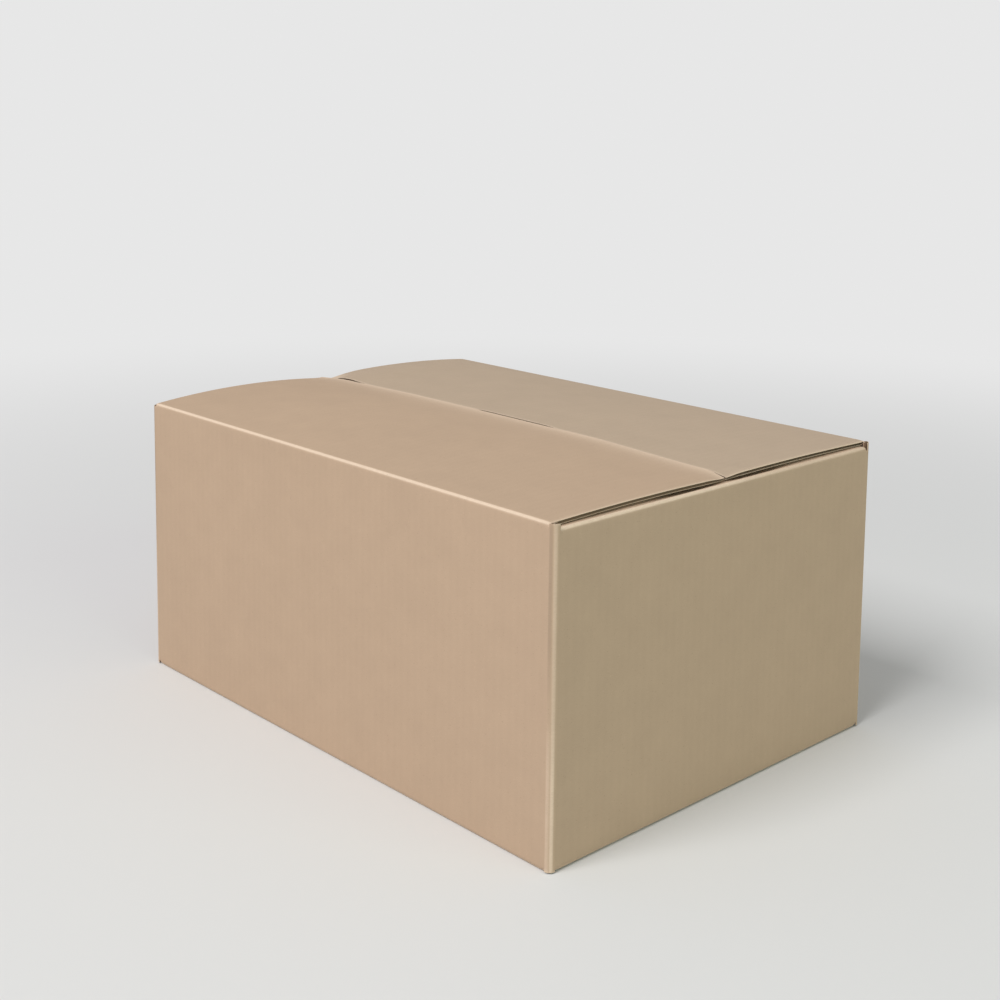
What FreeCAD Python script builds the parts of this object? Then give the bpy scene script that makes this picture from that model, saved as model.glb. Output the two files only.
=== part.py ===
import FreeCAD, Part
import math
import os
import Sketcher

# A closed carton folded from one sheet of corrugated board, its four closing flaps
# meeting in the middle of the top and of the bottom.
# X runs along the length, Y across the width and Z up from the floor.
# The origin is the middle of the footprint.

SIZES = {
    "carton_length": 430.0,   # outside, from end wall to end wall
    "carton_width": 305.0,    # outside, from front wall to back wall
    "carton_height": 203.0,   # from the floor to the creases of the long top flaps
    "board": 3.0,             # thickness of the corrugated board
    "fold_inner": 0.5,        # inside radius of every fold
    "layer_gap": 0.3,         # between two layers that lie on each other
    "slot_width": 9.0,        # slot cut between neighbouring flaps
    "seam_gap": 1.6,          # between the edges of two long flaps that meet
    "crease_gap": 0.2,        # between a long top flap and its wall, along the mitred crease
    "glue_tab": 35.0,         # width of the tab that closes the sheet into a sleeve
    "glue_margin": 6.0,       # from the edge of the tab to the glue
    "bead_width": 6.0,        # one bead of glue under a bottom end flap
    "bead_margin": 20.0,      # from the fold, and from the free edge, to a bead's ends
    "seam_rise": 5.0,         # how far the middle of the top seam stands up
    "front_bow_left": 3.8,    # how far the front flap's left edge is bowed up
    "front_bow_right": 1.4,   # the same at its right edge
    "back_bow_left": 2.2,     # the back flap's left edge
    "back_bow_right": 0.6,    # and its right edge
}

HALF_LENGTH = "(Sizes.carton_length / 2)"
HALF_WIDTH = "(Sizes.carton_width / 2)"
TOP = "Sizes.carton_height"
BOARD = "Sizes.board"
INNER = "Sizes.fold_inner"
OUTER = "(Sizes.board + Sizes.fold_inner)"
STEP = "(Sizes.board + Sizes.layer_gap)"
END_TOP = "(Sizes.carton_height - Sizes.board - Sizes.layer_gap)"
HALF_SLOT = "(Sizes.slot_width / 2)"
HALF_SEAM = "(Sizes.seam_gap / 2)"

# A fold is a quarter round, and a long top flap begins halfway round it.
SIN45 = math.sin(math.radians(45))
FOLD_SHIFT = f"({1 - SIN45} * {OUTER})"

# Where along half a flap's length its cross-sections stand.
FLAP_STATIONS = (-1.0, -0.55, 0.0, 0.55, 1.0)

doc = FreeCAD.newDocument("carton")
sheet = doc.addObject("Spreadsheet::Sheet", "Sizes")
for row, (alias, size) in enumerate(SIZES.items(), 1):
    sheet.set(f"A{row}", alias)
    sheet.set(f"B{row}", str(size))
    sheet.setAlias(f"B{row}", alias)
doc.recompute()


def value(expression):
    """The number that an expression of the sheet's sizes gives."""
    return float(sheet.evalExpression(expression))


def point(place):
    return FreeCAD.Vector(value(place[0]), value(place[1]), 0)


def new_body(name):
    body = doc.addObject("PartDesign::Body", name)
    body.Label = name
    return body


def new_sketch(body, name, plane, offset="0"):
    """An empty sketch on one of the body's own planes, moved along that plane's normal."""
    sketch = body.newObject("Sketcher::SketchObject", name)
    origin_plane = [f for f in body.Origin.OriginFeatures if f.Role == plane][0]
    sketch.AttachmentSupport = [(origin_plane, "")]
    sketch.MapMode = "FlatFace"
    sketch.setExpression("AttachmentOffset.Base.z", offset)
    return sketch


def bind(sketch, expression, *rule):
    """Add a dimension to the sketch and tie it to the sheet."""
    number = sketch.addConstraint(Sketcher.Constraint(*rule))
    sketch.setExpression(f"Constraints[{number}]", expression)


def arc_between(start, end, radius, turn):
    """The arc from start to end, turning left for 1 and right for -1."""
    chord = end - start
    height = math.sqrt(max(radius ** 2 - (chord.Length / 2) ** 2, 0.0))
    across = FreeCAD.Vector(-chord.y, chord.x, 0).normalize()
    centre = start + chord * 0.5 + across * (turn * height)
    circle = Part.Circle(centre, FreeCAD.Vector(0, 0, 1), radius)
    first, last = (start, end) if turn > 0 else (end, start)
    angle = [math.atan2(p.y - centre.y, p.x - centre.x) for p in (first, last)]
    return Part.ArcOfCircle(circle, angle[0], angle[1])


def draw_outline(sketch, places):
    """Close the outline through the places.

    A place is (across, up), or (across, up, radius, turn) where an arc leaves it.
    """
    ends = []
    for index, place in enumerate(places):
        start = point(place)
        end = point(places[(index + 1) % len(places)])
        if len(place) == 2:
            sketch.addGeometry(Part.LineSegment(start, end), False)
            ends.append((1, 2))
        else:
            sketch.addGeometry(arc_between(start, end, value(place[2]), place[3]), False)
            ends.append((1, 2) if place[3] > 0 else (2, 1))
    for index, place in enumerate(places):
        following = (index + 1) % len(places)
        corner = (index, ends[index][1], following, ends[following][0])
        sketch.addConstraint(Sketcher.Constraint("Coincident", *corner))
        start = point(place)
        bind(sketch, place[0], "DistanceX", -1, 1, index, ends[index][0], start.x)
        bind(sketch, place[1], "DistanceY", -1, 1, index, ends[index][0], start.y)
        if len(place) == 4:
            bind(sketch, place[2], "Radius", index, value(place[2]))


def rounded(corners):
    """Places along an outline of square corners, where (across, up, radius) is a rounded one."""
    spots = [point(corner) for corner in corners]
    places = []
    for index, corner in enumerate(corners):
        if len(corner) == 2:
            places.append(corner)
            continue
        arriving = (spots[index] - spots[index - 1]).normalize()
        leaving = (spots[(index + 1) % len(spots)] - spots[index]).normalize()
        radius = corner[2]
        turn = 1 if arriving.cross(leaving).z > 0 else -1
        before = tuple(f"{corner[a]} - ({arriving[a]:.0f}) * {radius}" for a in (0, 1))
        after = tuple(f"{corner[a]} + ({leaving[a]:.0f}) * {radius}" for a in (0, 1))
        places.append(before + (radius, turn))
        places.append(after)
    return places


def pad(body, name, sketch, length, both_ways=False):
    feature = body.newObject("PartDesign::Pad", name)
    feature.Profile = sketch
    feature.SideType = "Symmetric" if both_ways else "One side"
    feature.setExpression("Length", length)
    body.Tip = feature
    return feature


def bow_radius(span, rise, bow):
    """Radius of an arc that stands bow above the middle of a chord with that span and rise."""
    chord = f"(({span}) ^ 2 + ({rise}) ^ 2)"
    return f"({chord} / 4 + ({bow}) ^ 2) / (2 * ({bow}))"


# The folded sheet without its long top flaps.

def add_sleeve(body):
    """The four walls and the tab inside the left wall, between the rounded creases."""
    tab_outer = f"-{HALF_LENGTH} + {STEP}"
    tab_inner = f"-{HALF_LENGTH} + {STEP} + {BOARD}"
    tab_end = f"{HALF_WIDTH} - Sizes.glue_tab"
    sketch = new_sketch(body, "sleeve_plan", "XY_Plane", f"{STEP} + {OUTER}")
    corners = [
        (f"-{HALF_LENGTH}", f"-{HALF_WIDTH}", OUTER),
        (HALF_LENGTH, f"-{HALF_WIDTH}", OUTER),
        (HALF_LENGTH, HALF_WIDTH, OUTER),
        (tab_outer, HALF_WIDTH, OUTER),
        (tab_outer, tab_end),
        (tab_inner, tab_end),
        (tab_inner, f"{HALF_WIDTH} - {BOARD}", INNER),
        (f"{HALF_LENGTH} - {BOARD}", f"{HALF_WIDTH} - {BOARD}", INNER),
        (f"{HALF_LENGTH} - {BOARD}", f"-{HALF_WIDTH} + {BOARD}", INNER),
        (f"-{HALF_LENGTH} + {BOARD}", f"-{HALF_WIDTH} + {BOARD}", INNER),
        (f"-{HALF_LENGTH} + {BOARD}", HALF_WIDTH),
        (f"-{HALF_LENGTH}", HALF_WIDTH),
    ]
    draw_outline(sketch, rounded(corners))
    pad(body, "sleeve", sketch, f"{END_TOP} - {STEP} - 2 * {OUTER}")


def add_front_corners(body):
    """The front wall with both its upright folds, up to where the slots end."""
    tail = f"-{HALF_WIDTH} + {HALF_SLOT}"
    sketch = new_sketch(body, "front_corners_plan", "XY_Plane", STEP)
    corners = [
        (f"-{HALF_LENGTH}", tail),
        (f"-{HALF_LENGTH}", f"-{HALF_WIDTH}", OUTER),
        (HALF_LENGTH, f"-{HALF_WIDTH}", OUTER),
        (HALF_LENGTH, tail),
        (f"{HALF_LENGTH} - {BOARD}", tail),
        (f"{HALF_LENGTH} - {BOARD}", f"-{HALF_WIDTH} + {BOARD}", INNER),
        (f"-{HALF_LENGTH} + {BOARD}", f"-{HALF_WIDTH} + {BOARD}", INNER),
        (f"-{HALF_LENGTH} + {BOARD}", tail),
    ]
    draw_outline(sketch, rounded(corners))
    pad(body, "front_corners", sketch, f"{END_TOP} - {STEP}")


def add_back_corner(body):
    """The back wall with its one whole upright fold, on the right."""
    tail = f"{HALF_WIDTH} - {HALF_SLOT}"
    cut = f"-{HALF_LENGTH} + {HALF_SLOT} + {STEP}"
    sketch = new_sketch(body, "back_corner_plan", "XY_Plane", STEP)
    corners = [
        (f"{HALF_LENGTH} - {BOARD}", tail),
        (HALF_LENGTH, tail),
        (HALF_LENGTH, HALF_WIDTH, OUTER),
        (cut, HALF_WIDTH),
        (cut, f"{HALF_WIDTH} - {BOARD}"),
        (f"{HALF_LENGTH} - {BOARD}", f"{HALF_WIDTH} - {BOARD}", INNER),
    ]
    draw_outline(sketch, rounded(corners))
    pad(body, "back_corner", sketch, f"{END_TOP} - {STEP}")


def add_end_panel(body, name, side):
    """An end wall with its two short flaps, the upper one under the long top flaps."""
    outer = f"{side} * {HALF_LENGTH}"
    inner = f"{side} * ({HALF_LENGTH} - {BOARD})"
    flap_end = f"{side} * ({HALF_LENGTH} - {HALF_WIDTH} + {HALF_SEAM})"
    sketch = new_sketch(body, f"{name}_section", "XZ_Plane")
    corners = [
        (outer, STEP, OUTER),
        (outer, END_TOP, OUTER),
        (flap_end, END_TOP),
        (flap_end, f"{END_TOP} - {BOARD}"),
        (inner, f"{END_TOP} - {BOARD}", INNER),
        (inner, f"{STEP} + {BOARD}", INNER),
        (flap_end, f"{STEP} + {BOARD}"),
        (flap_end, STEP),
    ]
    draw_outline(sketch, rounded(corners))
    pad(body, name, sketch, "Sizes.carton_width - Sizes.slot_width", both_ways=True)


def add_long_panel(body, name, side):
    """A long wall with its bottom flap; its top edge is mitred where the top flap begins."""
    outer = f"{side} * {HALF_WIDTH}"
    inner = f"{side} * ({HALF_WIDTH} - {BOARD})"
    flap_end = f"{side} * {HALF_SEAM}"
    fold_start = f"{side} * ({HALF_WIDTH} - {OUTER})"
    inner_start = f"{side} * ({HALF_WIDTH} - {BOARD} - {INNER})"
    mitre = f"{side} * ({HALF_WIDTH} - {FOLD_SHIFT})"
    sketch = new_sketch(body, f"{name}_section", "YZ_Plane")
    places = [
        (flap_end, "0"),
        (fold_start, "0", OUTER, side),
        (outer, OUTER),
        (outer, f"{TOP} - {OUTER}", OUTER, side),
        (mitre, f"{TOP} - {FOLD_SHIFT}"),
        (inner, f"{TOP} - {BOARD}"),
        (inner, OUTER, INNER, -side),
        (inner_start, BOARD),
        (flap_end, BOARD),
    ]
    draw_outline(sketch, places)
    pad(body, name, sketch, "Sizes.carton_length - Sizes.slot_width", both_ways=True)


def make_carton_body():
    body = new_body("carton_body")
    add_sleeve(body)
    add_front_corners(body)
    add_back_corner(body)
    add_end_panel(body, "left_end", -1)
    add_end_panel(body, "right_end", 1)
    add_long_panel(body, "front_wall", -1)
    add_long_panel(body, "back_wall", 1)
    return body


# The two long top flaps, free along the seam and bowed up by the short flaps under them.

def flap_section(body, name, side, station, bow_left, bow_right):
    """One cross-section of a flap, at a station from -1 at its left edge to 1 at its right."""
    reach = f"({HALF_LENGTH} - {HALF_SLOT})"
    sketch = new_sketch(body, name, "YZ_Plane", f"{station} * {reach}")
    rise = f"Sizes.seam_rise * {1 - station ** 4}"
    bow = f"({bow_left} * {(1 - station) / 2} + {bow_right} * {(1 + station) / 2})"
    clear = f"(Sizes.crease_gap * {SIN45})"
    mitre = f"{side} * ({HALF_WIDTH} - {FOLD_SHIFT} - {clear})"
    fold_end = f"{side} * ({HALF_WIDTH} - {OUTER})"
    inner = f"{side} * ({HALF_WIDTH} - {BOARD} - {clear})"
    seam = f"{side} * {HALF_SEAM}"
    upper_span = f"{HALF_WIDTH} - {OUTER} - {HALF_SEAM}"
    lower_span = f"{HALF_WIDTH} - {BOARD} - {clear} - {HALF_SEAM}"
    lower_rise = f"{rise} - {clear}"
    places = [
        (mitre, f"{TOP} - {FOLD_SHIFT} + {clear}", OUTER, side),
        (fold_end, TOP, bow_radius(upper_span, rise, bow), side),
        (seam, f"{TOP} + {rise}"),
        (seam, f"{TOP} - {BOARD} + {rise}", bow_radius(lower_span, lower_rise, bow), -side),
        (inner, f"{TOP} - {BOARD} + {clear}"),
    ]
    draw_outline(sketch, places)
    return sketch


def make_top_flap(name, side, bow_left, bow_right):
    body = new_body(name)
    sections = [
        flap_section(body, f"{name}_section_{number}", side, station, bow_left, bow_right)
        for number, station in enumerate(FLAP_STATIONS)
    ]
    doc.recompute()
    loft = body.newObject("PartDesign::AdditiveLoft", f"{name}_board")
    loft.Profile = sections[0]
    loft.Sections = sections[1:]
    body.Tip = loft
    return body


# The glue that holds the sleeve and the bottom shut.

def glue_strip(name, corner, size):
    strip = doc.addObject("Part::Box", name)
    strip.Label = name
    for axis, place in zip("xyz", corner):
        strip.setExpression(f"Placement.Base.{axis}", place)
    for side, length in zip(("Length", "Width", "Height"), size):
        strip.setExpression(side, length)
    return strip


def make_tab_glue():
    """The glue between the tab and the left wall."""
    height = f"{END_TOP} - {STEP} - 2 * {OUTER} - 2 * Sizes.glue_margin"
    corner = (
        f"-{HALF_LENGTH} + {BOARD}",
        f"{HALF_WIDTH} - Sizes.glue_tab + Sizes.glue_margin",
        f"{STEP} + {OUTER} + Sizes.glue_margin",
    )
    width = "Sizes.glue_tab - 2 * Sizes.glue_margin"
    return glue_strip("tab_glue", corner, ("Sizes.layer_gap", width, height))


def make_bottom_glue(end_name, end, half_name, half):
    """A bead between a short bottom flap and one of the long ones under it."""
    bead_length = f"({HALF_WIDTH} - {HALF_SEAM} - 2 * Sizes.bead_margin)"
    near = f"{end} * ({HALF_LENGTH} - Sizes.bead_margin)"
    corner = (
        near if end < 0 else f"{near} - {bead_length}",
        f"{half} * {HALF_WIDTH} / 2 - Sizes.bead_width / 2",
        BOARD,
    )
    name = f"bottom_glue_{half_name}_{end_name}"
    return glue_strip(name, corner, (bead_length, "Sizes.bead_width", "Sizes.layer_gap"))


pieces = [
    make_carton_body(),
    make_top_flap("front_top_flap", -1, "Sizes.front_bow_left", "Sizes.front_bow_right"),
    make_top_flap("back_top_flap", 1, "Sizes.back_bow_left", "Sizes.back_bow_right"),
    make_tab_glue(),
]
for end_name, end in (("left", -1), ("right", 1)):
    for half_name, half in (("front", -1), ("back", 1)):
        pieces.append(make_bottom_glue(end_name, end, half_name, half))
doc.recompute()

for thing in doc.Objects:
    if "Invalid" in thing.State or "Error" in thing.State:
        raise RuntimeError(f"{thing.Name} did not build")
for piece in pieces:
    if piece.Shape.isNull() or not piece.Shape.isValid():
        raise RuntimeError(f"{piece.Label} has no valid shape")

os.makedirs("parts", exist_ok=True)
for piece in pieces:
    piece.Shape.exportStep(f"parts/{piece.Label}.step")
    box = piece.Shape.BoundBox
    print(piece.Label, len(piece.Shape.Solids), round(piece.Shape.Volume), box)
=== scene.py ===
import math

import bmesh
import bpy
import numpy as np
from mathutils import Matrix, Vector


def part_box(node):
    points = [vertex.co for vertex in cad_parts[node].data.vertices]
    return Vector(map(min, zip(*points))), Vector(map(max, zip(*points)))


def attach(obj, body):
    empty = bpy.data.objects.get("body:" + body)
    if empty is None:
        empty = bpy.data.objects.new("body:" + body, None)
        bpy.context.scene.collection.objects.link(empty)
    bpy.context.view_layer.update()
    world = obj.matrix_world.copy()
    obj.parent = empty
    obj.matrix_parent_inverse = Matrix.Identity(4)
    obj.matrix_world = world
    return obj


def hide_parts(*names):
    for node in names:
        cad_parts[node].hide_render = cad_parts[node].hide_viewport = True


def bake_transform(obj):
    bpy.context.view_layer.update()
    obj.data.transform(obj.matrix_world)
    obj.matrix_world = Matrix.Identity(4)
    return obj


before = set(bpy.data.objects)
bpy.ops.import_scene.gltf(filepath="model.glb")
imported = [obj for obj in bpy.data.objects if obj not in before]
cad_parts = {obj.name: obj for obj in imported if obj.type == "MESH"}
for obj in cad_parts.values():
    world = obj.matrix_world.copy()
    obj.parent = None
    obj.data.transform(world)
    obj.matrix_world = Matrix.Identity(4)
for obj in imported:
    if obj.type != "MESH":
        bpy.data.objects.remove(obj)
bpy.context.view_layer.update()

# Sizes of the carton, in metres, the outer ones from the frame.
_, body_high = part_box("carton_body")
_, flap_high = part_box("front_top_flap")
HALF_LENGTH = body_high.x
HALF_WIDTH = body_high.y
HALF_SLOT = HALF_LENGTH - flap_high.x
HALF_SEAM = -flap_high.y
BOARD = 0.003
LAYER_GAP = 0.0003
CREASE_GAP = 0.0002
STEP = BOARD + LAYER_GAP
TAB = 0.035

# Outside radius of a fold in the solids, of a crushed fold and of an upright one, the share of its
# thickness that crushed board keeps, and how far round its top fold a long wall goes, in degrees.
CAD_FOLD = 0.0035
FOLD = 0.0028
UPRIGHT_FOLD = 0.0042
FOLD_THICKNESS = 0.5
HALF_FOLD = 45

# The heights of the long flaps' creases, of the end walls' creases, and halfway up an end wall.
TOP = body_high.z + CAD_FOLD * (1 - math.sin(math.radians(HALF_FOLD)))
END_TOP = TOP - STEP
MID_HEIGHT = END_TOP / 2

# How far a flap reaches from its wall's face, and half the length of a flap on a long and on an end wall.
FLAP_DEPTH = HALF_WIDTH - HALF_SEAM
REACH = HALF_LENGTH - HALF_SLOT
END_REACH = HALF_WIDTH - HALF_SLOT

# How the closed top flaps lie: the seam stands up in the middle of its length,
# and each flap's ends are bowed up by the short flaps under them, on the left and on the right.
END_BOW = {"front": (0.0042, 0.0012), "back": (0.0032, 0.0008)}
# The seam's height at the left end, and how much it rises between two places along the carton.
SEAM_START = 0.0019
SEAM_STEPS = (
    (0.0023, -0.2155, -0.170),
    (0.0011, -0.175, -0.085),
    (-0.0003, -0.010, 0.090),
    (-0.0031, 0.085, 0.200),
    (-0.0007, 0.198, 0.212),
)
# The back flap lies a little lower at the seam, apart from two stretches, where it stands higher:
# how much it rises, and where the rise begins, is full, begins to fall and ends.
BACK_LOWER = 0.0005
BACK_RISES = (
    (0.0011, -0.207, -0.190, -0.180, -0.140),
    (0.0007, -0.024, -0.012, 0.052, 0.064),
)
# How far the free edge stands back from the middle at the left end, and how far along that reaches.
SET_BACK = {"front": 0.0, "back": 0.0035}
SET_BACK_REACH = 0.06
# The front flap's edge curls up at the seam: by how much, and how far in from the edge.
LIP = {"front": 0.0010, "back": 0.0}
LIP_REACH = 0.005

# The paper of the board.
LINER = 0.0003
MEDIUM = 0.0002
FLUTE = 0.0065
STEPS_PER_FLUTE = 8


def smooth(value, low, high):
    """0 below low, 1 above high, and a soft step between."""
    share = np.clip((value - low) / (high - low), 0, 1)
    return share * share * (3 - 2 * share)


def between(value, rise, full, fall, last):
    """1 from full to fall, 0 before rise and after last, and soft steps between."""
    return smooth(value, rise, full) * (1 - smooth(value, fall, last))


# Meshes of paper.

# What each row of a path holds; a fold's wear in it carries a painted highlight too.
ACROSS, UP, OUT_ACROSS, OUT_UP, WALKED, WEAR_AND_HIGHLIGHT, THICKNESS = range(7)
# The longest step of a path, the first step beside a fold, and the steps beside a cut edge.
STRIDE = 0.012
WALL_START = 0.002
EDGE_STRIDES = (0.0003, 0.0005, 0.0009, 0.0016)
EDGE_BAND = sum(EDGE_STRIDES)
# Steps round most folds, round the end walls' top folds and the upright ones, and round a long
# wall's and its flap's half of their fold.
FOLD_STEPS = 8
FINE_FOLD_STEPS = 12
HALF_FOLD_STEPS = 4
FLAP_FOLD_STEPS = 5
# Shares of a fold's turn at which its pale stretch, wear and a painted highlight, begins, is full, begins to
# fall and ends:
# of most folds, of the end walls' top folds, where it also paints light over the shade under the long flaps,
# and of the upright ones.
FOLD_RUB_AND_HIGHLIGHT_BAND = (0.20, 0.36, 0.64, 0.80)
END_TOP_RUB_AND_HIGHLIGHT_BAND = (-0.1, 0.0, 0.54, 0.80)
UPRIGHT_RUB_AND_HIGHLIGHT_BAND = (0.16, 0.30, 0.46, 0.62)
# About how wide a liner's mesh columns are, and the least angle between faces that shows as an edge.
COLUMN_WIDTH = 0.006
SHARP_ANGLE = math.radians(40)


class Path:
    """A line over the board's outer face, drawn by walking with the outside on the left."""

    def __init__(self, place, heading):
        self.place = np.array(place, float)
        self.angle = math.radians(heading)
        self.distance = 0.0
        self.rows = [self.row(0.0)]

    def outward(self):
        return np.array([math.cos(self.angle + math.pi / 2), math.sin(self.angle + math.pi / 2)])

    def row(self, wear, thickness=1.0):
        return [*self.place, *self.outward(), self.distance, wear, thickness]

    def forward(self, length, stride=STRIDE):
        steps = max(1, math.ceil(length / stride))
        ahead = np.array([math.cos(self.angle), math.sin(self.angle)])
        for _ in range(steps):
            self.place = self.place + ahead * length / steps
            self.distance += length / steps
            self.rows.append(self.row(0.0))
        return self

    def edge(self, inward):
        """Short rows beside a cut edge, finest at the edge itself."""
        strides = EDGE_STRIDES if inward else EDGE_STRIDES[::-1]
        for length in strides:
            self.forward(length, length)
        return self

    def wall(self, length):
        """A wall between two folds, with short rows where it leaves them."""
        return self.forward(WALL_START).forward(length - 2 * WALL_START).forward(WALL_START)

    def fold(self, start, end, wear, steps=FOLD_STEPS, radius=FOLD, band=FOLD_RUB_AND_HIGHLIGHT_BAND):
        """Part of a quarter-round fold, from start to end degrees of its turn, crushed where it is tight."""
        thickness = FOLD_THICKNESS if radius < BOARD else 1.0
        centre = self.place - self.outward() * radius
        turn = math.radians(end - start) / steps
        for number in range(1, steps + 1):
            self.angle -= turn
            self.place = centre + self.outward() * radius
            self.distance += radius * turn
            # The fold's pale band is wear and a painted highlight along the fold.
            share = (start + (end - start) * number / steps) / 90
            self.rows.append(self.row(wear * float(between(share, *band)), thickness))
        return self

    def table(self):
        return np.array(self.rows)


def fine_columns(width):
    """Shares of a panel's width, close together beside its two cut edges."""
    band = np.cumsum((0.0,) + EDGE_STRIDES) / width
    middle = np.linspace(band[-1], 1 - band[-1], max(2, round(width / COLUMN_WIDTH)))
    return np.concatenate([band[:-1], middle, 1 - band[-2::-1]])


# Material slots of a paper mesh.
LINER_SLOT, MEDIUM_SLOT = 0, 1


class Paper:
    """One mesh of closed thin sheets, each point with its place on the flat blank and its wear and painted
    light.
    """

    def __init__(self, name):
        self.name = name
        self.points, self.faces, self.flat, self.wear, self.kinds = [], [], [], [], []
        self.count = 0

    def add(self, upper, lower, flat, wear, kind):
        """A closed sheet between two grids of points."""
        rows, columns = upper.shape[:2]
        size = rows * columns
        index = self.count + np.arange(size).reshape(rows, columns)
        corners = (index[:-1, :-1], index[:-1, 1:], index[1:, 1:], index[1:, :-1])
        face = np.stack(corners, axis=-1).reshape(-1, 4)
        ring = np.concatenate([index[0, :-1], index[:-1, -1], index[-1, :0:-1], index[:0:-1, 0]])
        along = np.roll(ring, -1)
        rim = np.stack([ring, ring + size, along + size, along], axis=-1)
        faces = np.concatenate([face, face[:, ::-1] + size, rim])
        self.points += [upper.reshape(-1, 3), lower.reshape(-1, 3)]
        self.flat += [flat.reshape(-1, 2)] * 2
        self.wear += [wear.reshape(-1)] * 2
        self.faces.append(faces)
        self.kinds.append(np.full(len(faces), kind))
        self.count += 2 * size

    def board(self, panel):
        """A panel of corrugated board: its two liners and the wavy medium between them."""
        fine = np.linspace(0, 1, 1 + round(panel.width / FLUTE * STEPS_PER_FLUTE))
        for near in (0.0, BOARD - LINER):
            grid = panel.grid(panel.columns)
            upper = panel.place(*grid, near)
            lower = panel.place(*grid, near + LINER)
            self.add(upper, lower, panel.flat(*grid), panel.wear(*grid), LINER_SLOT)
        rows, across = panel.grid(fine)
        crest = BOARD / 2 - LINER - MEDIUM / 2
        wave = BOARD / 2 + crest * np.sin(2 * math.pi * across / FLUTE + panel.phase)
        upper = panel.place(rows, across, wave - MEDIUM / 2)
        lower = panel.place(rows, across, wave + MEDIUM / 2)
        self.add(upper, lower, panel.flat(rows, across), 0 * across, MEDIUM_SLOT)

    def build(self, materials):
        mesh = bpy.data.meshes.new(self.name)
        points = np.concatenate(self.points)
        mesh.from_pydata(points.tolist(), [], np.concatenate(self.faces).tolist())
        mesh.polygons.foreach_set("material_index", np.concatenate(self.kinds).astype(np.int32))
        shape = bmesh.new()
        shape.from_mesh(mesh)
        bmesh.ops.recalc_face_normals(shape, faces=shape.faces[:])
        shape.to_mesh(mesh)
        shape.free()
        corner = np.zeros(len(mesh.loops), np.int32)
        mesh.loops.foreach_get("vertex_index", corner)
        flat = np.concatenate(self.flat)[corner]
        mesh.uv_layers.new(name="blank").data.foreach_set("uv", flat.astype(np.float32).ravel())
        # Each point's wear and painted light: pale above 0, painted shade below 0.
        wear = mesh.attributes.new("wear", "FLOAT", "POINT")
        wear.data.foreach_set("value", np.concatenate(self.wear).astype(np.float32))
        mesh.shade_smooth()
        mesh.set_sharp_from_angle(angle=SHARP_ANGLE)
        for material in materials:
            mesh.materials.append(material)
        thing = bpy.data.objects.new(self.name, mesh)
        bpy.context.scene.collection.objects.link(thing)
        return thing


# How much thinner the knife leaves the board at a cut side, how far that reaches,
# and the share of it that comes off the outer face.
CUT_CRUSH = 0.0009
CUT_CRUSH_REACH = 0.0012
OUTER_CRUSH = 0.8
# Wear at a cut edge, and how far it reaches.
EDGE_WEAR = 0.8
EDGE_WEAR_REACH = 0.0006
# Wear and a painted highlight where a corner is pressed down, and the depths between which it comes on.
PINCH_WEAR_AND_HIGHLIGHT = 0.6
PINCH_WEAR_AND_HIGHLIGHT_DEPTHS = (0.0006, 0.0022)
# A distance that no edge's crush or wear reaches.
UNCUT = 1.0


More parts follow.
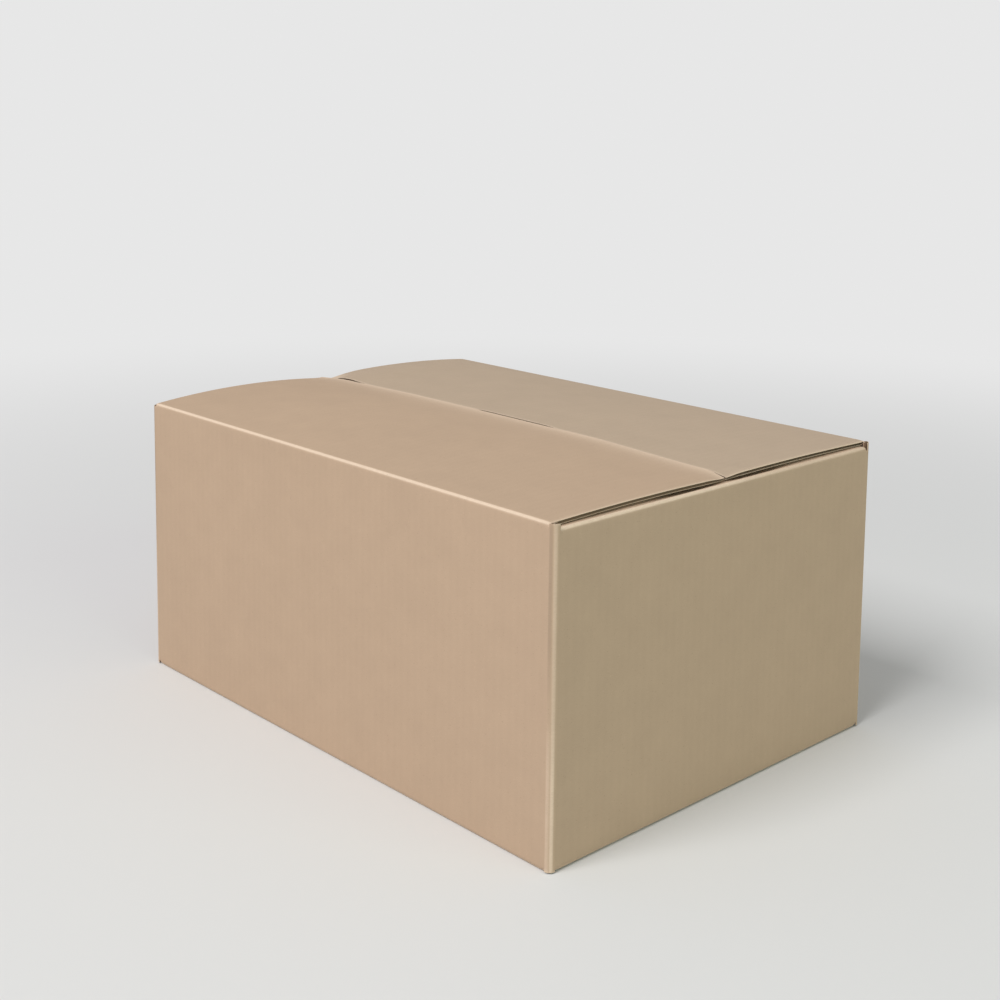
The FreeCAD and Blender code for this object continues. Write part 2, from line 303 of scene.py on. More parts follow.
class Panel:
    """A stretch of board over a path, between two limits across it.

    limits gives the two ends across for a row of the path, and blank the place on the flat sheet:
    where it starts across, which way it runs, and where it starts along the path. phase is the
    medium's, lift moves points up, and pinch says how far the outer face is pressed in. The fold
    scale says how much of the folds' wear and painted highlight is left at a height and place
    across, and the groove adds a line of painted shade that is paler below.
    """

    def __init__(self, path, limits, to_world, blank, phase=0.0, lift=None, pinch=None):
        self.path = path.table()
        self.ends = np.array([limits(row) for row in self.path])
        self.width = float(np.max(self.ends[:, 1] - self.ends[:, 0]))
        self.columns = fine_columns(self.width)
        self.to_world = to_world
        self.blank = blank
        self.phase = phase
        self.lift = lift
        self.pinch = pinch
        self.painted_groove = None
        self.rub_and_highlight_scale = None
        self.seam_wear, self.seam_wear_reach = EDGE_WEAR, EDGE_WEAR_REACH
        self.uncut_sides = np.zeros((len(self.path), 2))
        self.uncut_start = self.uncut_end = 0.0
        self.column_wear_and_highlight = ((0.0, 1.0), (0.0, 0.0))

    def join_sides(self, joined):
        """Where, by row, the low and the high side carry on into other board."""
        self.uncut_sides = UNCUT * np.array([joined(row) for row in self.path], float)
        return self

    def grid(self, shares):
        rows = np.repeat(np.arange(len(self.path))[:, None], len(shares), axis=1)
        across = self.ends[rows, 0] + shares[None, :] * (self.ends[rows, 1] - self.ends[rows, 0])
        return rows, across

    def place(self, rows, across, depth):
        row = self.path[rows]
        depth = depth * row[..., THICKNESS]
        if self.pinch is not None:
            pressed = self.pinch(row[..., ACROSS], across)
            depth = pressed + depth * (1 - pressed / BOARD)
        depth = depth + self.crushed(rows, across) * (OUTER_CRUSH - depth / BOARD)
        level = row[..., ACROSS] - row[..., OUT_ACROSS] * depth
        height = row[..., UP] - row[..., OUT_UP] * depth
        if self.lift is not None:
            height = height + self.lift(row, across)
        return self.to_world(level, height, across)

    def edge_distance(self, rows, across):
        """How far it is to the nearer side, and to the nearer end of the path, where they are cut."""
        walked = self.path[rows, WALKED]
        low = across - self.ends[rows, 0] + self.uncut_sides[rows, 0]
        high = self.ends[rows, 1] - across + self.uncut_sides[rows, 1]
        start = walked - self.path[0, WALKED] + self.uncut_start
        end = self.path[-1, WALKED] - walked + self.uncut_end
        return np.minimum(low, high), np.minimum(start, end)

    def crushed(self, rows, across):
        """How much thinner the knife has left the board beside its cut sides."""
        sides, _ = self.edge_distance(rows, across)
        return CUT_CRUSH * np.exp(-sides / CUT_CRUSH_REACH)

    def flat(self, rows, across):
        start, direction, along = self.blank
        return np.stack([start + direction * across, along + self.path[rows, WALKED]], axis=-1)

    def wear(self, rows, across):
        """How far wear and painted highlights make the paper pale, and below 0 how far painted shade makes
        it dark.
        """
        sides, ends = self.edge_distance(rows, across)
        height = self.path[rows, UP]
        fold_rub_and_highlight = np.maximum(self.path[rows, WEAR_AND_HIGHLIGHT], np.interp(across, *self.column_wear_and_highlight))
        if self.rub_and_highlight_scale is not None:
            fold_rub_and_highlight = fold_rub_and_highlight * self.rub_and_highlight_scale(height, across)
        worn_and_painted_light = np.maximum(fold_rub_and_highlight, EDGE_WEAR * np.exp(-sides / EDGE_WEAR_REACH))
        worn_and_painted_light = np.maximum(worn_and_painted_light, self.seam_wear * np.exp(-ends / self.seam_wear_reach))
        if self.painted_groove is not None:
            worn_and_painted_light = worn_and_painted_light + self.painted_groove(height, across)
        if self.pinch is not None:
            pressed = self.pinch(self.path[rows, ACROSS], across)
            worn_and_painted_light = np.maximum(worn_and_painted_light, PINCH_WEAR_AND_HIGHLIGHT * smooth(pressed, *PINCH_WEAR_AND_HIGHLIGHT_DEPTHS))
        return worn_and_painted_light


# Materials.

class Graph:
    """Nodes of one material, added and joined by short calls."""

    def __init__(self, name):
        self.material = bpy.data.materials.new(name)
        self.material.use_nodes = True
        self.nodes = self.material.node_tree.nodes
        self.links = self.material.node_tree.links
        self.shader = self.nodes["Principled BSDF"]

    def add(self, kind, inputs=(), **settings):
        node = self.nodes.new(kind)
        for name, setting in settings.items():
            setattr(node, name, setting)
        for socket, source in dict(inputs).items():
            self.feed(node.inputs[socket], source)
        return node

    def feed(self, socket, source):
        if isinstance(source, bpy.types.NodeSocket):
            self.links.new(source, socket)
        else:
            socket.default_value = source

    def math(self, operation, first, second=0.0, third=0.0):
        node = self.add("ShaderNodeMath", {0: first, 1: second, 2: third}, operation=operation)
        return node.outputs[0]

    def product(self, *factors):
        result = factors[0]
        for factor in factors[1:]:
            result = self.math("MULTIPLY", result, factor)
        return result

    def limited(self, value):
        """Between 0 and 1."""
        return self.add("ShaderNodeClamp", {0: value}).outputs[0]

    def noise(self, vector, scale, detail, roughness=0.5):
        inputs = {"Vector": vector, "Scale": scale, "Detail": detail, "Roughness": roughness}
        return self.add("ShaderNodeTexNoise", inputs).outputs["Fac"]

    def stretched_noise(self, vector, across, along, detail, roughness=0.5):
        scale = {0: vector, 1: (across, along, 1.0)}
        stretched = self.add("ShaderNodeVectorMath", scale, operation="MULTIPLY").outputs[0]
        return self.noise(stretched, 1.0, detail, roughness)

    def around_one(self, value, amount):
        """A factor near 1 from a noise near a half."""
        return self.math("MULTIPLY_ADD", value, 2 * amount, 1 - amount)

    def paint(self, colour, tone, roughness):
        toned = self.add("ShaderNodeVectorMath", {0: colour, "Scale": tone}, operation="SCALE")
        self.feed(self.shader.inputs["Base Color"], toned.outputs[0])
        self.feed(self.shader.inputs["Roughness"], roughness)

    def bump(self, height, strength, distance):
        node = self.add("ShaderNodeBump", {"Height": height, "Strength": strength, "Distance": distance})
        self.feed(self.shader.inputs["Normal"], node.outputs[0])


# Colours of the glue, the paper, the back flap's paper painted cooler for the light it gets, the medium
# darkened by painted shade for its hollows, and the pale of rubbed folds and edges with painted highlights.
GLUE_COLOUR = (0.66, 0.52, 0.27)
KRAFT_COLOUR = (0.50, 0.362, 0.253)
BACK_PAINTED_LIGHT_COLOUR = (0.482, 0.372, 0.272)
FLUTING_PAINTED_SHADE_COLOUR = (0.25, 0.172, 0.112)
PALE_WEAR_AND_HIGHLIGHT_COLOUR = (0.735, 0.58, 0.44)
# The paper's noises: how often each repeats in a metre across and along, its detail and its roughness.
FIBRES = (260.0, 2600.0, 3.0, 0.6)
SHORT_FIBRES = (1500.0, 4200.0, 2.0, 0.6)
FLECKS = (700.0, 1300.0, 1.0)
RUB_AND_HIGHLIGHT_FIBRES = (300.0, 900.0, 4.0, 0.7)
# The clouds repeat as often both ways.
CLOUDS = (42.0, 4.0, 0.62)
BROAD_CLOUDS = (9.0, 2.0)
# How much each of them changes the tone, the faint flute stripes being painted shade of the board's ridges.
FIBRE_TONE, SHORT_FIBRE_TONE, CLOUD_TONE, BROAD_TONE, FLUTE_PAINTED_SHADE = 0.05, 0.045, 0.06, 0.03, 0.006
DARK_FLECKS_ABOVE, DARK_FLECK_TONE = 0.715, 0.16
PALE_FLECKS_BELOW, PALE_FLECK_TONE = 0.285, 0.10
# How much darker the painted shade beside the upright folds makes the paper.
PAINTED_SHADE_DARKER = 0.20
# How unevenly the pale of the folds, wear and painted highlight, is spread.
RUB_AND_HIGHLIGHT_SPREAD, RUB_AND_HIGHLIGHT_LEAST = 1.1, 0.45
# How rough and how shiny the paper is, and its fine relief.
LINER_ROUGHNESS, FLUTING_ROUGHNESS, ROUGHNESS_SPREAD = 0.84, 0.9, 0.06
PAPER_SPECULAR = 0.22
FIBRE_RELIEF, SHORT_FIBRE_RELIEF, FLUTE_RELIEF, CLOUD_RELIEF = 0.6, 0.5, 0.22, 0.9
RELIEF_STRENGTH, RELIEF_HEIGHT = 0.55, 0.00008


def kraft(name, colour, middle_roughness=LINER_ROUGHNESS):
    """Brown kraft paper: fibres, clouds, flecks, faint flutes of painted shade, pale folds and edges of wear
    and painted highlight, and dark lines of painted shade.
    """
    graph = Graph(name)
    blank = graph.add("ShaderNodeUVMap", uv_map="blank").outputs["UV"]
    fibres = graph.stretched_noise(blank, *FIBRES)
    short_fibres = graph.stretched_noise(blank, *SHORT_FIBRES)
    clouds = graph.noise(blank, *CLOUDS)
    broad = graph.noise(blank, *BROAD_CLOUDS)
    fleck = graph.stretched_noise(blank, *FLECKS)
    is_dark = graph.math("GREATER_THAN", fleck, DARK_FLECKS_ABOVE)
    is_pale = graph.math("LESS_THAN", fleck, PALE_FLECKS_BELOW)
    across = graph.add("ShaderNodeSeparateXYZ", {0: blank}).outputs["X"]
    flutes = graph.math("SINE", graph.product(across, 2 * math.pi / FLUTE))
    # The wear attribute holds wear and painted highlights above 0, and painted shade below 0.
    wear = graph.add("ShaderNodeAttribute", attribute_name="wear").outputs["Fac"]
    # Painted shade: the part of the attribute below 0, which darkens the tone.
    pressed = graph.limited(graph.product(wear, -1.0))
    tone = graph.product(
        graph.around_one(fibres, FIBRE_TONE),
        graph.around_one(short_fibres, SHORT_FIBRE_TONE),
        graph.around_one(clouds, CLOUD_TONE),
        graph.around_one(broad, BROAD_TONE),
        graph.math("MULTIPLY_ADD", is_dark, -DARK_FLECK_TONE, 1.0),
        graph.math("MULTIPLY_ADD", is_pale, PALE_FLECK_TONE, 1.0),
        graph.math("MULTIPLY_ADD", flutes, FLUTE_PAINTED_SHADE, 1.0),
        graph.math("MULTIPLY_ADD", pressed, -PAINTED_SHADE_DARKER, 1.0),
    )
    uneven = graph.stretched_noise(blank, *RUB_AND_HIGHLIGHT_FIBRES)
    rubbed_and_highlit = graph.product(wear, graph.math("MULTIPLY_ADD", uneven, RUB_AND_HIGHLIGHT_SPREAD, RUB_AND_HIGHLIGHT_LEAST))
    colours = {"Fac": graph.limited(rubbed_and_highlit), "Color1": (*colour, 1.0), "Color2": (*PALE_WEAR_AND_HIGHLIGHT_COLOUR, 1.0)}
    base = graph.add("ShaderNodeMixRGB", colours).outputs["Color"]
    rough = graph.math("ADD", clouds, fibres)
    rough = graph.math("MULTIPLY_ADD", rough, ROUGHNESS_SPREAD, middle_roughness - ROUGHNESS_SPREAD)
    graph.paint(base, tone, rough)
    graph.shader.inputs["Specular IOR Level"].default_value = PAPER_SPECULAR
    grain = graph.product(fibres, FIBRE_RELIEF)
    for noise, share in ((short_fibres, SHORT_FIBRE_RELIEF), (flutes, FLUTE_RELIEF), (clouds, CLOUD_RELIEF)):
        grain = graph.math("MULTIPLY_ADD", noise, share, grain)
    graph.bump(grain, RELIEF_STRENGTH, RELIEF_HEIGHT)
    return graph.material


# The glue's two noises, how much they change its tone, its roughness and its relief.
UNEVEN_GLUE = (260.0, 3.0)
GLUE_STREAKS = (60.0, 700.0, 2.0)
UNEVEN_TONE, STREAK_TONE = 0.1, 0.06
GLUE_ROUGHNESS_SPREAD, GLUE_ROUGHNESS_LEAST = 0.2, 0.3
GLUE_RELIEF_STRENGTH, GLUE_RELIEF_HEIGHT = 0.5, 0.0002


def hot_melt(name):
    """Set amber glue with a slightly uneven, waxy face."""
    graph = Graph(name)
    place = graph.add("ShaderNodeTexCoord").outputs["Object"]
    uneven = graph.noise(place, *UNEVEN_GLUE)
    streaks = graph.stretched_noise(place, *GLUE_STREAKS)
    tone = graph.product(graph.around_one(uneven, UNEVEN_TONE), graph.around_one(streaks, STREAK_TONE))
    rough = graph.math("MULTIPLY_ADD", uneven, GLUE_ROUGHNESS_SPREAD, GLUE_ROUGHNESS_LEAST)
    graph.paint(GLUE_COLOUR, tone, rough)
    graph.bump(uneven, GLUE_RELIEF_STRENGTH, GLUE_RELIEF_HEIGHT)
    return graph.material


liner_material = kraft("kraft_liner", KRAFT_COLOUR)
# The back flap's paper is a cooler copy of the same paper, painted for the light it gets.
back_painted_light_liner_material = kraft("kraft_liner_back_painted_light", BACK_PAINTED_LIGHT_COLOUR)
# The medium's brown is darkened further as painted shade for the hollows between the liners.
fluting_painted_shade_material = kraft("fluting_painted_shade", FLUTING_PAINTED_SHADE_COLOUR, FLUTING_ROUGHNESS)
glue_material = hot_melt("hot_melt")
BOARD_MATERIALS = (liner_material, fluting_painted_shade_material)
BACK_PAINTED_LIGHT_MATERIALS = (back_painted_light_liner_material, fluting_painted_shade_material)


# How far the closed flaps and the end walls' foot are moved up or down.

# The short top flaps' spring beside their fold: where it is full, its share of the free height,
# its limit, the levels from a long wall between which it ends, and where it fades inward.
SPRING_REACH = 0.012
SPRING_SHARE = 0.85
SPRING_LIMIT = 0.0020
SPRING_LEVELS = (0.5 * FLAP_DEPTH, 0.75 * FLAP_DEPTH)
SPRING_FADE = (0.020, 0.060)
# Their sag behind the fold, where it is full, and how far from the seam they touch the long flaps.
SAG = 0.0012
SAG_REACH = 0.007
TOUCH_REACH = 0.007
# Between the end walls' foot and the floor.
FOOT_GAP = 0.0003


def seam_height(side_name, along):
    """Height of a closed flap's seam edge above its crease, along the carton."""
    height = SEAM_START + sum(rise * smooth(along, low, high) for rise, low, high in SEAM_STEPS)
    if side_name == "back":
        height = height - BACK_LOWER
        for rise, *band in BACK_RISES:
            height = height + rise * between(along, *band)
    return height


def flap_lift(side_name, level, along):
    """Height of a closed long flap above its crease, at a level from its wall and along the carton."""
    share = np.clip((level - FOLD) / (FLAP_DEPTH - FOLD), 0, 1)
    station = np.clip(along / REACH, -1, 1)
    left, right = END_BOW[side_name]
    bow = left + (right - left) * (station + 1) / 2
    lip = LIP[side_name] * np.exp(-np.maximum(FLAP_DEPTH - level, 0) / LIP_REACH)
    return (seam_height(side_name, along) - LIP[side_name]) * share + lip + bow * 4 * share * (1 - share)


def short_flap_lift(row, across, end):
    """The short top flaps spring up beside their fold until the long flaps stop them.

    Between there and the seam they sag behind the fold, and they touch the long flaps again at the seam.
    """
    inward = HALF_LENGTH - row[..., ACROSS]
    level = HALF_WIDTH - np.abs(across)
    along = end * row[..., ACROSS]
    front = flap_lift("front", level, along)
    back = flap_lift("back", level, along)
    above = np.minimum(np.where(across < 0, front, back), SPRING_LIMIT)
    sprung = 1 - smooth(level, *SPRING_LEVELS)
    touching = np.exp(-((HALF_WIDTH - level) / TOUCH_REACH) ** 2)
    beside = 1 - smooth(inward, *SPRING_FADE)
    spring = smooth(inward, FOLD, SPRING_REACH) * SPRING_SHARE * np.maximum(sprung, touching) * above
    sag = smooth(inward, FOLD, SAG_REACH) * SAG * (1 - sprung) * (1 - touching)
    return np.where(row[..., UP] > MID_HEIGHT, (spring - sag) * beside, 0.0)


def foot_lift(row):
    """The end walls reach down to the floor, and their bottom flaps step up over the long ones."""
    inward = HALF_LENGTH - row[..., ACROSS]
    on_foot = 1 - smooth(inward, FOLD, HALF_SLOT)
    low = 1 - smooth(row[..., UP], STEP + FOLD, MID_HEIGHT)
    return -(STEP - FOOT_GAP) * on_foot * low


# The body of the carton.

# How pale the folds are made, by wear and a painted highlight: the long top creases, the end ones, the
# upright and the bottom ones.
CREASE_WEAR_AND_HIGHLIGHT = 1.0
END_CREASE_WEAR_AND_HIGHLIGHT = 0.9
CORNER_WEAR_AND_HIGHLIGHT = 0.75
BOTTOM_WEAR_AND_HIGHLIGHT = 0.6
# Where each kind of board starts on the flat sheet, along its path, so that no two look alike.
WALL_BLANK, END_BLANK, CORNER_BLANK, FLAP_BLANK = 0.0, 0.5, 1.0, 2.0
CREASE_BLANK = (3.0, 3.004)
# How far out the corners start across it, and where the tab and the long flaps start.
CORNER_BLANK_SHIFT = 0.5
TAB_BLANK_START = -3.0
FLAP_BLANK_START = 5.0
# The tab's slanted ends, and the flat strip between its fold and the back wall.
TAB_SLANT = 0.012
TAB_TAIL = 0.0004
# The short flaps' stretch beside their fold that springs, its step, and the step across the foot.
SPRUNG_BAND = 0.024
SPRUNG_STRIDE = 0.0022
FOOT_STRIDE = 0.0005
# An outward direction above this share faces away from the carton's middle.
FACING_OUT = 0.5
# The end creases' wear and painted highlight fade towards the back: by how much, and between which places
# across.
END_RUB_AND_HIGHLIGHT_FADE = 0.4
END_RUB_AND_HIGHLIGHT_REACH = (-0.020, 0.050)


def long_panel(side):
    """A long wall with its bottom flap, up to the middle of its top crease."""
    path = Path((-HALF_SEAM, 0.0), 180).edge(True)
    path.forward(FLAP_DEPTH - FOLD - EDGE_BAND).fold(0, 90, BOTTOM_WEAR_AND_HIGHLIGHT)
    path.wall(TOP - 2 * FOLD).fold(0, HALF_FOLD, CREASE_WEAR_AND_HIGHLIGHT, HALF_FOLD_STEPS)

    def limits(row):
        at_tab = side > 0 and FOLD < row[UP] < TOP - FOLD
        return (-HALF_LENGTH + STEP + CAD_FOLD + TAB_TAIL if at_tab else -REACH), REACH

    def to_world(level, height, across):
        return np.stack([across, -side * level, height], axis=-1)

    def joined(row):
        on_wall = FOLD <= row[UP] <= TOP - FOLD
        return on_wall, on_wall

    start = 0.0 if side < 0 else 2 * HALF_LENGTH + 2 * HALF_WIDTH
    panel = Panel(path, limits, to_world, (start, -side, WALL_BLANK)).join_sides(joined)
    panel.uncut_end = UNCUT
    return panel


def end_panel(end):
    """An end wall with its two short flaps."""
    path = Path((HALF_LENGTH - FLAP_DEPTH, END_TOP), 0).edge(True)
    path.forward(FLAP_DEPTH - SPRUNG_BAND - EDGE_BAND).forward(SPRUNG_BAND - FOLD, SPRUNG_STRIDE)
    path.fold(0, 90, END_CREASE_WEAR_AND_HIGHLIGHT, FINE_FOLD_STEPS, band=END_TOP_RUB_AND_HIGHLIGHT_BAND)
    path.wall(END_TOP - STEP - 2 * FOLD).fold(0, 90, BOTTOM_WEAR_AND_HIGHLIGHT)
    path.forward(HALF_SLOT - FOLD, FOOT_STRIDE).forward(FLAP_DEPTH - HALF_SLOT - EDGE_BAND).edge(False)

    def limits(row):
        on_wall = STEP + FOLD < row[UP] < END_TOP - FOLD and row[OUT_ACROSS] > FACING_OUT
        return -END_REACH, (HALF_WIDTH if end < 0 and on_wall else END_REACH)

    def to_world(level, height, across):
        return np.stack([end * level, across, height], axis=-1)

    def lift(row, across):
        return short_flap_lift(row, across, end) + foot_lift(row)

    def joined(row):
        on_wall = STEP + FOLD <= row[UP] <= END_TOP - FOLD and row[OUT_ACROSS] > FACING_OUT
        return on_wall, on_wall and end > 0

    def rub_and_highlight_scale(height, across):
        return 1 - END_RUB_AND_HIGHLIGHT_FADE * smooth(across, *END_RUB_AND_HIGHLIGHT_REACH) * (height > MID_HEIGHT)

    blank = (end * (HALF_LENGTH + HALF_WIDTH), end, END_BLANK)
    panel = Panel(path, limits, to_world, blank, lift=lift).join_sides(joined)
    panel.rub_and_highlight_scale = rub_and_highlight_scale
    return panel


# Beside an upright fold, on the long wall's side, runs a line of painted shade above that is paler
# below: how much, at which shares of the fold's board, and the heights between which it changes.
GROOVE_PAINTED_SHADE = 0.9
GROOVE_PALE_BELOW = 0.35
PAINTED_GROOVE_BAND = (0.56, 0.70, 0.88, 1.0)
PAINTED_GROOVE_HEIGHTS = (0.055, 0.150)
# The fold's own wear and painted highlight are less above: by how much, and the heights between which that
# comes on.
UPRIGHT_RUB_AND_HIGHLIGHT_FADE = 0.5
UPRIGHT_RUB_AND_HIGHLIGHT_HEIGHTS = (0.045, 0.105)
# The corners' lower ends, and their upper ends on the left and on the right.
CORNER_LOW = 0.0008
CORNER_HIGH = {-1: END_TOP + 0.0009, 1: TOP - 0.0006}


def upright_fold(plan, low, high, side_x, side_y, blank, taper=0.0):
    """A fold between two walls, or the tab: board over a plan path, from low to high."""
    table = plan.table()
    walked = table[:, WALKED]
    last = walked[-1]
    levels = Path((0.0, low), 90).edge(True)
    levels.forward(high - low - 2 * EDGE_BAND).edge(False)

    def limits(row):
        from_end = min(row[UP] - low, high - row[UP])
        return max(0.0, taper * (1 - from_end / TAB_SLANT)), last

    def to_world(level, height, across):
        kinds = (ACROSS, UP, OUT_ACROSS, OUT_UP)
        place_x, place_y, out_x, out_y = [np.interp(across, walked, table[:, kind]) for kind in kinds]
        plan_x = place_x - out_x * level
        plan_y = place_y - out_y * level
        return np.stack([side_x * plan_x, -side_y * plan_y, height], axis=-1)

    def painted_groove(height, across):
        beside = between(across / last, *PAINTED_GROOVE_BAND)
        return beside * (GROOVE_PALE_BELOW - (GROOVE_PALE_BELOW + GROOVE_PAINTED_SHADE) * smooth(height, *PAINTED_GROOVE_HEIGHTS))

    def rub_and_highlight_scale(height, across):
        return 1 - UPRIGHT_RUB_AND_HIGHLIGHT_FADE * smooth(height, *UPRIGHT_RUB_AND_HIGHLIGHT_HEIGHTS)

    panel = Panel(levels, limits, to_world, blank).join_sides(lambda row: (taper == 0, True))
    panel.rub_and_highlight_scale = rub_and_highlight_scale
    panel.columns = np.union1d(fine_columns(last), walked / last)
    panel.column_wear_and_highlight = (walked, table[:, WEAR_AND_HIGHLIGHT])
    if taper == 0:
        panel.painted_groove = painted_groove
    return panel


def corner_plan(tail_x, tail_y, corner_x, corner_y, radius):
    """From the end wall round the fold to the long wall."""
    plan = Path((corner_x, -corner_y + radius + tail_y), -90).forward(tail_y)
    return plan.fold(0, 90, CORNER_WEAR_AND_HIGHLIGHT, FINE_FOLD_STEPS, radius, UPRIGHT_RUB_AND_HIGHLIGHT_BAND).forward(tail_x)


def corner_panels():
    """The three folds between walls, and the tab with its own fold."""
    tail = HALF_SLOT - UPRIGHT_FOLD
    panels = []
    for side_x, side_y in ((1, -1), (-1, -1), (1, 1)):
        plan = corner_plan(tail, tail, HALF_LENGTH, HALF_WIDTH, UPRIGHT_FOLD)
        blank = (side_x * (HALF_LENGTH + CORNER_BLANK_SHIFT), 1.0, CORNER_BLANK)
        panels.append(upright_fold(plan, CORNER_LOW, CORNER_HIGH[side_x], side_x, side_y, blank))
    plan = corner_plan(TAB_TAIL, TAB - CAD_FOLD, HALF_LENGTH - STEP, HALF_WIDTH, CAD_FOLD)
    low, high = STEP + CAD_FOLD, END_TOP - CAD_FOLD
    blank = (TAB_BLANK_START, 1.0, CORNER_BLANK)
    panels.append(upright_fold(plan, low, high, -1, 1, blank, taper=TAB - 2 * CAD_FOLD))
    return panels


def make_body():
    """The body is one sheet of board, drawn as a mesh for each wall and one for the folds between them."""
    meshes = {
        "front_wall_board": [long_panel(-1)],
        "back_wall_board": [long_panel(1)],
        "left_wall_board": [end_panel(-1)],
        "right_wall_board": [end_panel(1)],
        "corner_fold_board": corner_panels(),
    }
    for name, panels in meshes.items():
        paper = Paper(name)
        for panel in panels:
            paper.board(panel)
        board = paper.build(BOARD_MATERIALS)
        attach(board, "carton")
        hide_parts("carton_body")


# The two long top flaps, and the strips of paper that carry on round their creases.

# The longest step over a flap, and beside the seam a stretch with shorter ones.
FLAP_STRIDE = 0.006
LIP_BAND = 0.018
LIP_STRIDE = 0.0015
# How far the corners at the seam are pressed down, and how far that reaches, left and right.
CORNER_DROOP = {
    "front": ((0.0003, 0.012), (0.0016, 0.008)),
    "back": ((0.0028, 0.018), (0.0011, 0.009)),
}
# At the right end the medium meets the inner liner in the front flap and the outer liner in the back one.
RIGHT_END_PHASE = 2 * math.pi * REACH / FLUTE
FLAP_PHASE = {"front": math.pi / 2 - RIGHT_END_PHASE, "back": -math.pi / 2 - RIGHT_END_PHASE}
# Wear at the seam, with a painted highlight over the front flap's curled lip, and how far it reaches.
SEAM_WEAR_AND_HIGHLIGHT = {"front": (0.62, 0.0060), "back": (0.8, 0.0008)}


def flap_gap_angle():
    """Where round the fold a flap begins, in degrees."""
    return HALF_FOLD + math.degrees(CREASE_GAP / FOLD)


def on_top_fold(degrees):
    """The place on the outside of a long wall's top fold, and the outward direction there."""
    angle = math.radians(180 - degrees)
    outward = np.array([math.cos(angle), math.sin(angle)])
    return np.array([-HALF_WIDTH + FOLD, TOP - FOLD]) + outward * FOLD, outward


def long_flap(side_name, side):
    start = flap_gap_angle()
    path = Path(on_top_fold(start)[0], 90 - start)
    # The flap's first row is crushed and fully pale: wear and a painted highlight over the shade at the
    # fold's cut end.
    path.rows[0] = path.row(CREASE_WEAR_AND_HIGHLIGHT, FOLD_THICKNESS)
    path.fold(start, 90, CREASE_WEAR_AND_HIGHLIGHT, FLAP_FOLD_STEPS)
    path.forward(WALL_START).forward(FLAP_DEPTH - FOLD - WALL_START - EDGE_BAND - LIP_BAND, FLAP_STRIDE)
    path.forward(LIP_BAND, LIP_STRIDE).edge(False)

    def limits(row):
        return -REACH, REACH

    def to_world(level, height, across):
        back = SET_BACK[side_name] * (1 - smooth(across, -REACH, -REACH + SET_BACK_REACH))
        depth = (level + HALF_WIDTH) * (1 - back / FLAP_DEPTH)
        return np.stack([across, -side * (depth - HALF_WIDTH), height], axis=-1)

    def lift(row, across):
        return flap_lift(side_name, row[..., ACROSS] + HALF_WIDTH, across)

    def pinch(level, across):
        pressed = 0.0
        for end, (drop, reach) in zip((-1, 1), CORNER_DROOP[side_name]):
            away = (across - end * REACH) ** 2 + (level + HALF_SEAM) ** 2
            pressed = pressed + drop * np.exp(-away / reach ** 2)
        return pressed

    blank = (side * FLAP_BLANK_START, 1.0, FLAP_BLANK)
    panel = Panel(path, limits, to_world, blank, FLAP_PHASE[side_name], lift, pinch)
    panel.seam_wear, panel.seam_wear_reach = SEAM_WEAR_AND_HIGHLIGHT[side_name]
    panel.uncut_start = UNCUT
    return panel


def make_flap(side_name, side):
    paper = Paper(f"{side_name}_top_flap_board")
    paper.board(long_flap(side_name, side))
    # The back flap takes the paper painted cooler for the light it gets.
    flap = paper.build(BACK_PAINTED_LIGHT_MATERIALS if side > 0 else BOARD_MATERIALS)
    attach(flap, f"{side_name}_flap")
    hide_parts(f"{side_name}_top_flap")


def make_crease(side_name, side):
    """The paper that joins a long wall to its top flap."""
    columns = REACH * (2 * fine_columns(2 * REACH) - 1)

    def line(place):
        points = [columns, np.full_like(columns, -side * place[0]), np.full_like(columns, place[1])]
        return np.stack(points, axis=-1)

    outer, inner, flat = [], [], []
    for degrees, along in zip((HALF_FOLD, flap_gap_angle()), CREASE_BLANK):
        place, outward = on_top_fold(degrees)
        outer.append(place)
        inner.append(place - outward * BOARD * FOLD_THICKNESS)
        flat.append(np.stack([columns, np.full_like(columns, along)], axis=-1))
    upper = np.stack([line(place) for place in outer])
    lower = np.stack([line(place) for place in inner])
    paper = Paper(f"{side_name}_crease")
    paper.add(upper, lower, np.stack(flat), np.full(upper.shape[:2], CREASE_WEAR_AND_HIGHLIGHT), LINER_SLOT)
    crease = paper.build(BOARD_MATERIALS)
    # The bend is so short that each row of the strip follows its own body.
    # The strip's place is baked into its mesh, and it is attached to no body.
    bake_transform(crease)


# The glue, which lies between the layers.

def dress_glue():
    for name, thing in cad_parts.items():
        if "glue" in name:
            thing.data.materials.clear()
            thing.data.materials.append(glue_material)


# Floor, light and camera.

# The floor fades into the background between two distances from the carton.
FLOOR_RADIUS = 30.0
FLOOR_SIDES = 96
FLOOR_NEAR = 0.5
FLOOR_FAR = 1.7
FLOOR_COLOUR = (0.74, 0.74, 0.735)
FLOOR_ROUGHNESS = 0.9
FLOOR_SPECULAR = 0.1
BACKGROUND = (0.80, 0.80, 0.80)
SKY_COLOUR = (0.977, 0.961, 1.0)
SKY_LIGHT = 0.42
# Each lamp's direction from the carton, distance, size, power and colour.
LAMPS = {
    "key": ((0.0, -1.0, 1.13), 6.0, 3.0, 257.0, (1.0, 0.993, 0.986)),
    "side_fill": ((1.0, 0.1, 0.25), 5.0, 4.0, 67.5, (0.715, 1.0, 0.723)),
}
# The camera's place, its turns in degrees, and its lens in pixels of the picture.
CAMERA_PLACE = (0.7742, -0.7114, 0.4328)
CAMERA_AZIMUTH = 46.21
CAMERA_ELEVATION = 6.93
CAMERA_ROLL = 0.77
FOCAL_PIXELS = 1491.7
FRAME_PIXELS = 1000.0
CENTRE_PIXELS = (527.9, 280.0)
SENSOR_WIDTH = 36.0
CLIP_END = 100.0


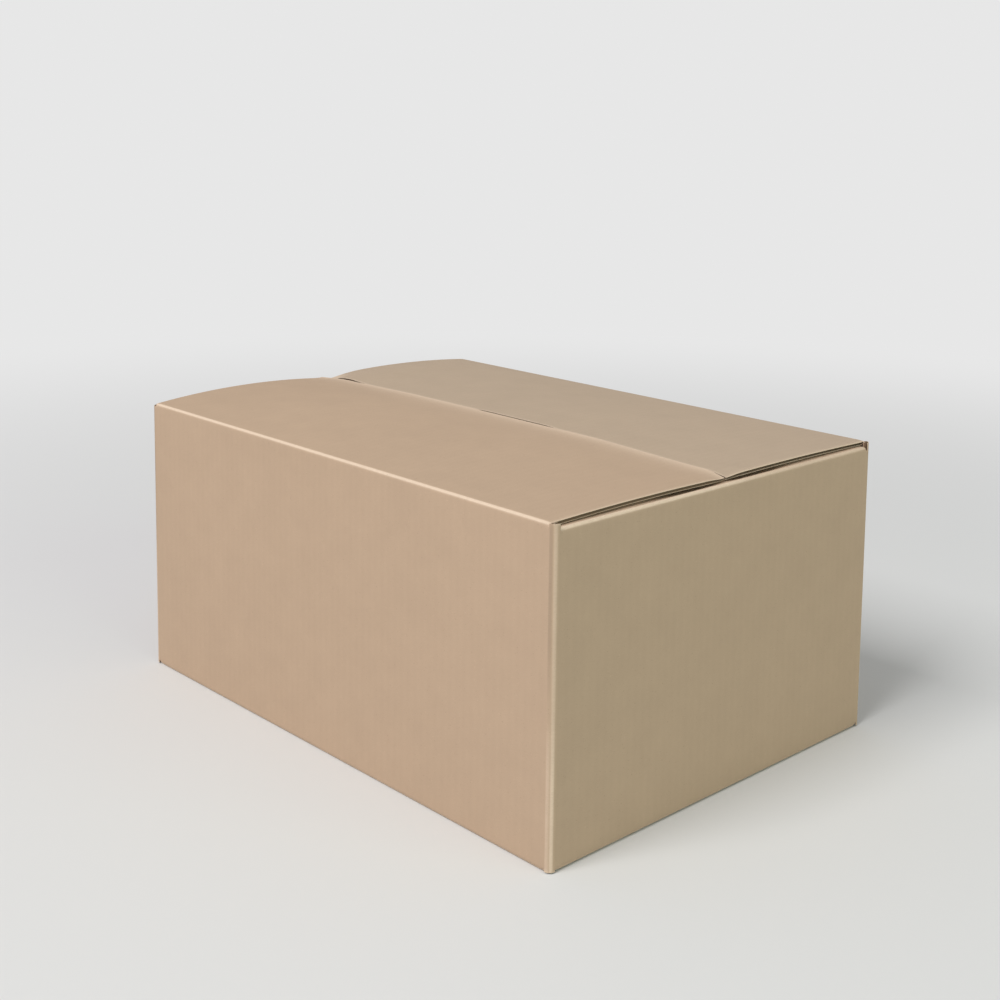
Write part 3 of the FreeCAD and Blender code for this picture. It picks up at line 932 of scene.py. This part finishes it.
def seen_directly(nodes, links):
    """1 for rays from the camera, off a shiny face or through glass, and 0 for those that bring light."""
    rays = nodes.new("ShaderNodeLightPath").outputs
    seen = rays["Is Camera Ray"]
    for kind in ("Is Glossy Ray", "Is Transmission Ray"):
        either = nodes.new("ShaderNodeMath")
        either.operation = "MAXIMUM"
        links.new(seen, either.inputs[0])
        links.new(rays[kind], either.inputs[1])
        seen = either.outputs[0]
    return seen


def make_floor():
    """A wide pale floor that fades into the background far from the object."""
    bpy.ops.mesh.primitive_circle_add(vertices=FLOOR_SIDES, radius=FLOOR_RADIUS, fill_type="NGON")
    floor = bpy.context.object
    floor.name = "floor"
    graph = Graph("floor_paint")
    place = graph.add("ShaderNodeNewGeometry").outputs["Position"]
    graph.shader.inputs["Base Color"].default_value = (*FLOOR_COLOUR, 1.0)
    graph.shader.inputs["Roughness"].default_value = FLOOR_ROUGHNESS
    graph.shader.inputs["Specular IOR Level"].default_value = FLOOR_SPECULAR
    reach = graph.add("ShaderNodeVectorMath", {0: place}, operation="LENGTH").outputs["Value"]
    far = {"Value": reach, "From Min": FLOOR_NEAR, "From Max": FLOOR_FAR}
    fade = graph.add("ShaderNodeMapRange", far, interpolation_type="SMOOTHSTEP").outputs["Result"]
    glow = graph.add("ShaderNodeEmission", {"Color": (*BACKGROUND, 1.0), "Strength": 1.0}).outputs[0]
    share = graph.product(fade, seen_directly(graph.nodes, graph.links))
    mix = graph.add("ShaderNodeMixShader", {0: share, 1: graph.shader.outputs[0], 2: glow})
    graph.links.new(mix.outputs[0], graph.nodes["Material Output"].inputs["Surface"])
    floor.data.materials.append(graph.material)


def make_world():
    """An even sky light, seen as a plain pale background."""
    world = bpy.data.worlds.new("studio")
    bpy.context.scene.world = world
    world.use_nodes = True
    nodes, links = world.node_tree.nodes, world.node_tree.links
    sky = nodes["Background"]
    sky.inputs["Color"].default_value = (*SKY_COLOUR, 1.0)
    sky.inputs["Strength"].default_value = SKY_LIGHT
    plain = nodes.new("ShaderNodeBackground")
    plain.inputs["Color"].default_value = (*BACKGROUND, 1.0)
    mix = nodes.new("ShaderNodeMixShader")
    links.new(seen_directly(nodes, links), mix.inputs[0])
    links.new(sky.outputs[0], mix.inputs[1])
    links.new(plain.outputs[0], mix.inputs[2])
    links.new(mix.outputs[0], nodes["World Output"].inputs["Surface"])


def make_lamp(name, direction, distance, size, power, colour):
    """A square lamp that faces the carton from a direction."""
    lamp = bpy.data.lights.new(name, "AREA")
    lamp.shape = "SQUARE"
    lamp.size = size
    lamp.energy = power
    lamp.color = colour
    thing = bpy.data.objects.new(name, lamp)
    bpy.context.scene.collection.objects.link(thing)
    away = Vector(direction).normalized()
    thing.location = Vector((0, 0, TOP / 2)) + away * distance
    thing.rotation_euler = away.to_track_quat("Z", "Y").to_euler()


def make_camera():
    azimuth, elevation, roll = map(math.radians, (CAMERA_AZIMUTH, CAMERA_ELEVATION, CAMERA_ROLL))
    level = math.cos(elevation)
    back = Vector((math.sin(azimuth) * level, -math.cos(azimuth) * level, math.sin(elevation)))
    flat_right = Vector((0, 0, 1)).cross(back).normalized()
    flat_up = back.cross(flat_right)
    right = math.cos(roll) * flat_right + math.sin(roll) * flat_up
    up = math.cos(roll) * flat_up - math.sin(roll) * flat_right
    camera = bpy.data.cameras.new("camera")
    camera.sensor_width = SENSOR_WIDTH
    camera.lens = camera.sensor_width * FOCAL_PIXELS / FRAME_PIXELS
    camera.shift_x = (FRAME_PIXELS / 2 - CENTRE_PIXELS[0]) / FRAME_PIXELS
    camera.shift_y = (CENTRE_PIXELS[1] - FRAME_PIXELS / 2) / FRAME_PIXELS
    camera.clip_end = CLIP_END
    thing = bpy.data.objects.new("camera", camera)
    bpy.context.scene.collection.objects.link(thing)
    turn = Matrix((right, up, back)).transposed().to_4x4()
    thing.matrix_world = Matrix.Translation(CAMERA_PLACE) @ turn
    bpy.context.scene.camera = thing


make_body()
for side_name, side in (("front", -1), ("back", 1)):
    make_flap(side_name, side)
    make_crease(side_name, side)
dress_glue()
make_floor()
make_world()
for lamp_name, lamp_settings in LAMPS.items():
    make_lamp(lamp_name, *lamp_settings)
make_camera()
bpy.context.scene.view_settings.view_transform = "Standard"
